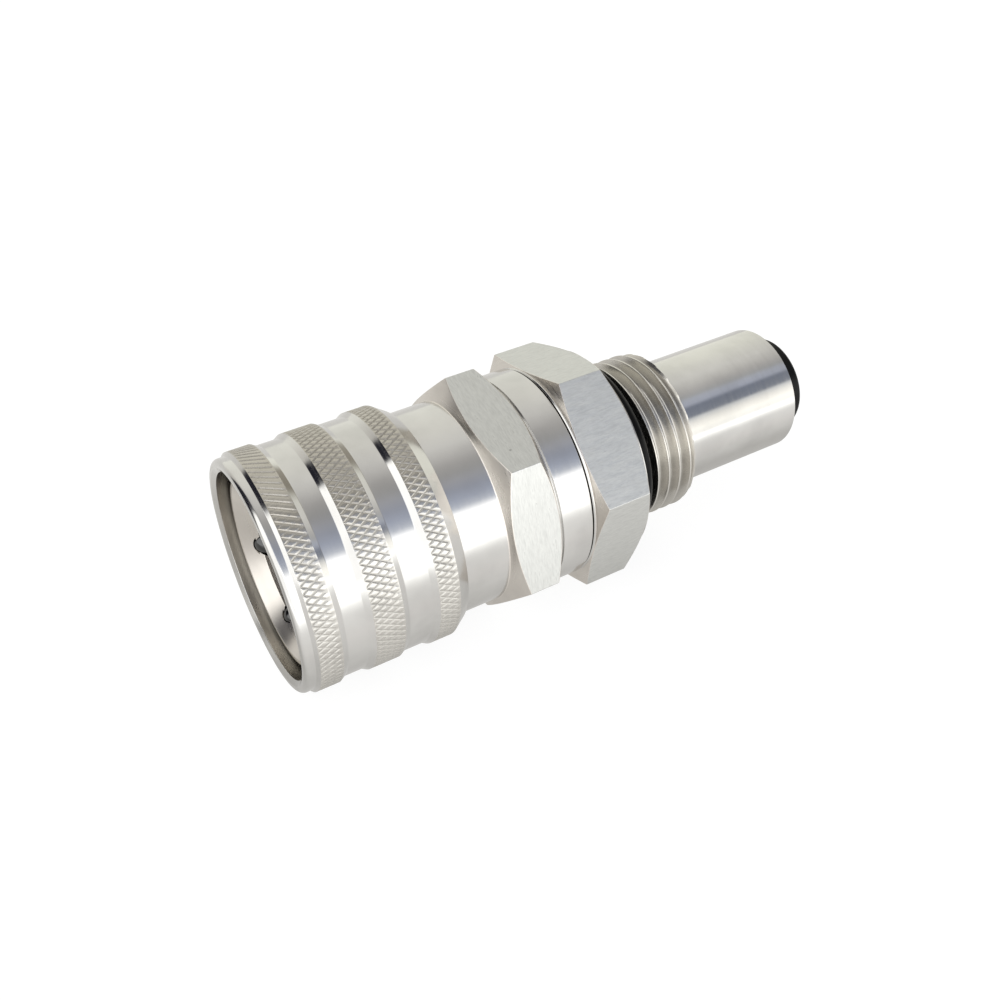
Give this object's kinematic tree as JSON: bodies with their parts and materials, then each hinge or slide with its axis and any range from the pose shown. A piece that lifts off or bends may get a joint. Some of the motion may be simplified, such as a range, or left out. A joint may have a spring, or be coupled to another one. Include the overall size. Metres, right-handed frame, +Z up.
{
  "type": "beer line connector",
  "caption": "Stainless ball-lock quick-disconnect socket with knurled sliding sleeve, hexagons, male pipe thread with O-ring, and a tail tube with push-in collet.",
  "frame": {"origin": "on the axis, halfway along the bore that guides the plug", "axes": "+X along the axis from the plug's mouth to the beer line's collet, +Z up, lying on its side"},
  "size_m": [0.0834, 0.0334, 0.0334],
  "materials": {
    "sleeve_steel": "diamond knurled, polished",
    "body_steel": "turned and polished",
    "adapter_steel": "turned and polished, milled flats",
    "ball_steel": "ground and polished",
    "spring_steel": "drawn",
    "valve_steel": "turned",
    "black_rubber": "smooth",
    "port_rubber": "glossy, oiled",
    "black_plastic": "moulded",
    "collet_plastic": "moulded, glossy"
  },
  "bodies": {
    "socket": {"socket_body": "body_steel", "rear_adapter": "adapter_steel", "sleeve_spring": "spring_steel", "plug_seal": "black_rubber", "valve_spring": "spring_steel", "valve_guide": "valve_steel", "adapter_seal": "black_rubber", "port_o_ring": "port_rubber", "tube_seal_inner": "black_rubber", "seal_spacer": "black_plastic", "tube_seal_outer": "black_rubber", "seal_backup_ring": "black_plastic", "collet_retainer": "body_steel"},
    "sleeve_ring": {"sleeve_retaining_ring": "spring_steel"},
    "sleeve": {"locking_sleeve": "sleeve_steel"},
    "valve": {"valve_poppet": "valve_steel", "valve_seal": "black_rubber"},
    "push_collet": {"collet": "collet_plastic", "grip_ring": "spring_steel"},
    "ball_1": {"locking_ball_1": "ball_steel"},
    "ball_2": {"locking_ball_2": "ball_steel"},
    "ball_3": {"locking_ball_3": "ball_steel"},
    "ball_4": {"locking_ball_4": "ball_steel"},
    "ball_5": {"locking_ball_5": "ball_steel"},
    "ball_6": {"locking_ball_6": "ball_steel"}
  },
  "joints": [
    {"name": "sleeve_slide", "type": "slide", "parent": "socket", "child": "sleeve_ring", "axis": [1, 0, 0], "range_m": [0, 0.0029], "stiffness_N_per_m": 3000, "springref_m": -0.003, "deforming": ["sleeve_spring"]},
    {"name": "sleeve_spin", "type": "hinge", "parent": "sleeve_ring", "child": "sleeve", "pos_m": [0.0089, 0, 0], "axis": [1, 0, 0], "continuous": true},
    {"name": "valve_slide", "type": "slide", "parent": "socket", "child": "valve", "axis": [1, 0, 0], "range_m": [0, 0.004], "stiffness_N_per_m": 1200, "springref_m": -0.004, "deforming": ["valve_spring"]},
    {"name": "collet_slide", "type": "slide", "parent": "socket", "child": "push_collet", "axis": [-1, 0, 0], "range_m": [0, 0.0012]},
    {"name": "ball_1_slide", "type": "slide", "parent": "socket", "child": "ball_1", "axis": [0, -0.1736, 0.9848], "range_m": [0, 0.00065]},
    {"name": "ball_2_slide", "type": "slide", "parent": "socket", "child": "ball_2", "axis": [0, -0.9397, 0.342], "range_m": [0, 0.00065]},
    {"name": "ball_3_slide", "type": "slide", "parent": "socket", "child": "ball_3", "axis": [0, -0.766, -0.6428], "range_m": [0, 0.00065]},
    {"name": "ball_4_slide", "type": "slide", "parent": "socket", "child": "ball_4", "axis": [0, 0.1736, -0.9848], "range_m": [0, 0.00065]},
    {"name": "ball_5_slide", "type": "slide", "parent": "socket", "child": "ball_5", "axis": [0, 0.9397, -0.342], "range_m": [0, 0.00065]},
    {"name": "ball_6_slide", "type": "slide", "parent": "socket", "child": "ball_6", "axis": [0, 0.766, 0.6428], "range_m": [0, 0.00065]}
  ],
  "couplings": [
    {"joint": "ball_1_slide", "follows": "sleeve_slide", "ratio": 0.2241},
    {"joint": "ball_2_slide", "follows": "sleeve_slide", "ratio": 0.2241},
    {"joint": "ball_3_slide", "follows": "sleeve_slide", "ratio": 0.2241},
    {"joint": "ball_4_slide", "follows": "sleeve_slide", "ratio": 0.2241},
    {"joint": "ball_5_slide", "follows": "sleeve_slide", "ratio": 0.2241},
    {"joint": "ball_6_slide", "follows": "sleeve_slide", "ratio": 0.2241}
  ]
}
